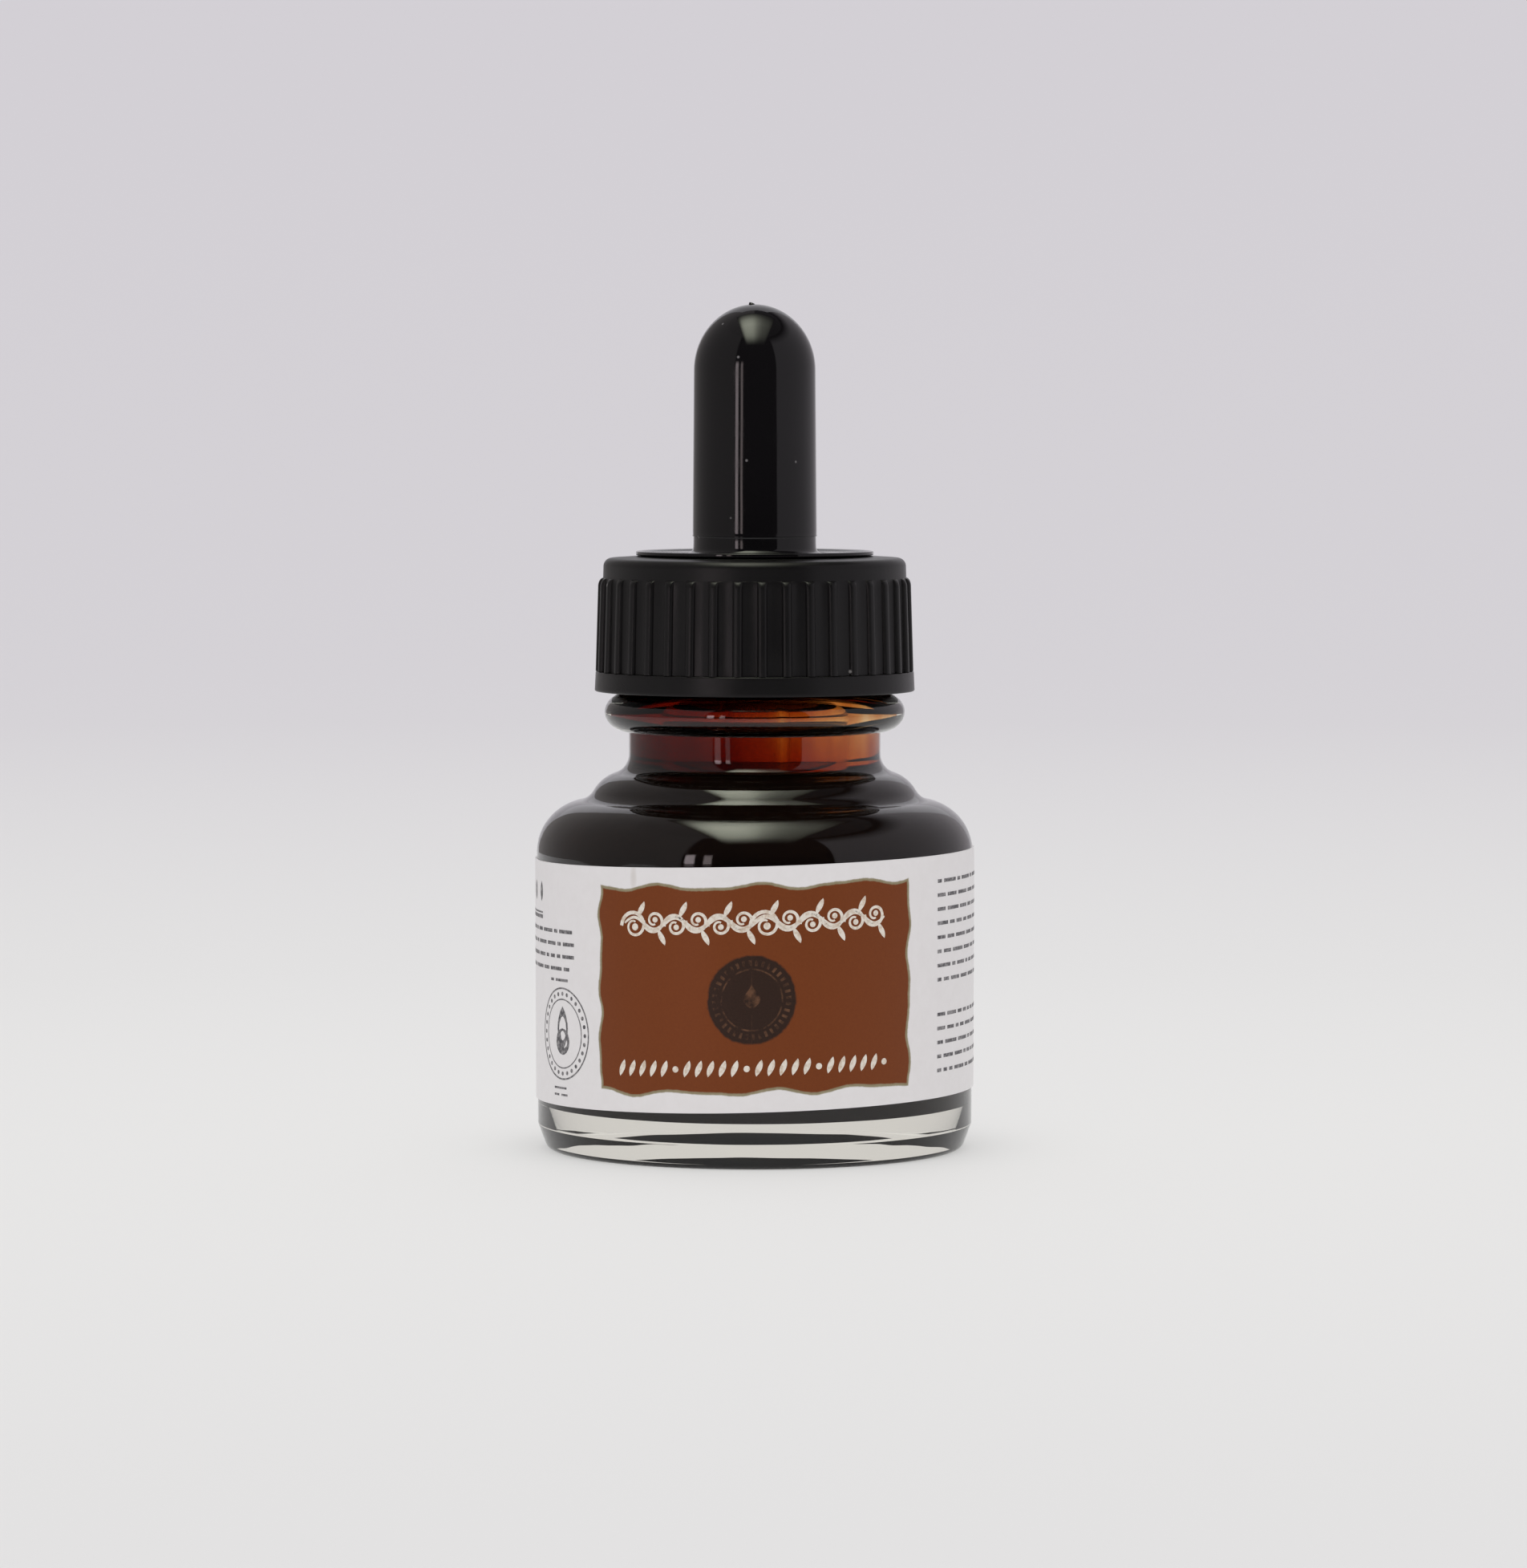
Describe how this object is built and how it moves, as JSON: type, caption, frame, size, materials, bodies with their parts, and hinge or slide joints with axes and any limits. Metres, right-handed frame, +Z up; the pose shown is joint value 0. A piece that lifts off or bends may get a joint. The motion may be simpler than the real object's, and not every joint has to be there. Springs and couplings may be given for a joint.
{
  "type": "ink bottle",
  "caption": "Round clear glass bottle of drawing ink with a paper label, a ribbed black screw cap and a rubber bulb dropper with a glass pipette.",
  "frame": {"origin": "centre of the foot ring, on the plane the bottle stands on", "axes": "+Z up along the bottle's axis, towards the bulb; -Y towards the viewer of the label's front; +X to that viewer's right"},
  "size_m": [0.042, 0.042, 0.0809],
  "materials": {
    "clear_glass": "clear, glossy",
    "brown_ink": "dark liquid, glossy",
    "white_paper": "printed paper, satin",
    "black_cap_plastic": "moulded, satin",
    "black_rubber": "smooth, satin"
  },
  "bodies": {
    "bottle": {"glass_bottle": "clear_glass", "ink": "brown_ink", "label": "white_paper"},
    "dropper": {"rubber_bulb": "black_rubber", "glass_pipette": "clear_glass", "ink_in_pipette": "brown_ink"},
    "cap": {"screw_cap": "black_cap_plastic"}
  },
  "joints": [
    {"name": "dropper_lift", "type": "slide", "parent": "bottle", "child": "dropper", "axis": [0, 0, 1], "range_m": [0, 0.0512]},
    {"name": "cap_turn", "type": "hinge", "parent": "dropper", "child": "cap", "pos_m": [0, 0, 0.05], "axis": [0, 0, 1], "range_deg": [0, 5760]}
  ],
  "couplings": [
    {"joint": "dropper_lift", "follows": "cap_turn", "m_per_rad": 0.0005093}
  ]
}
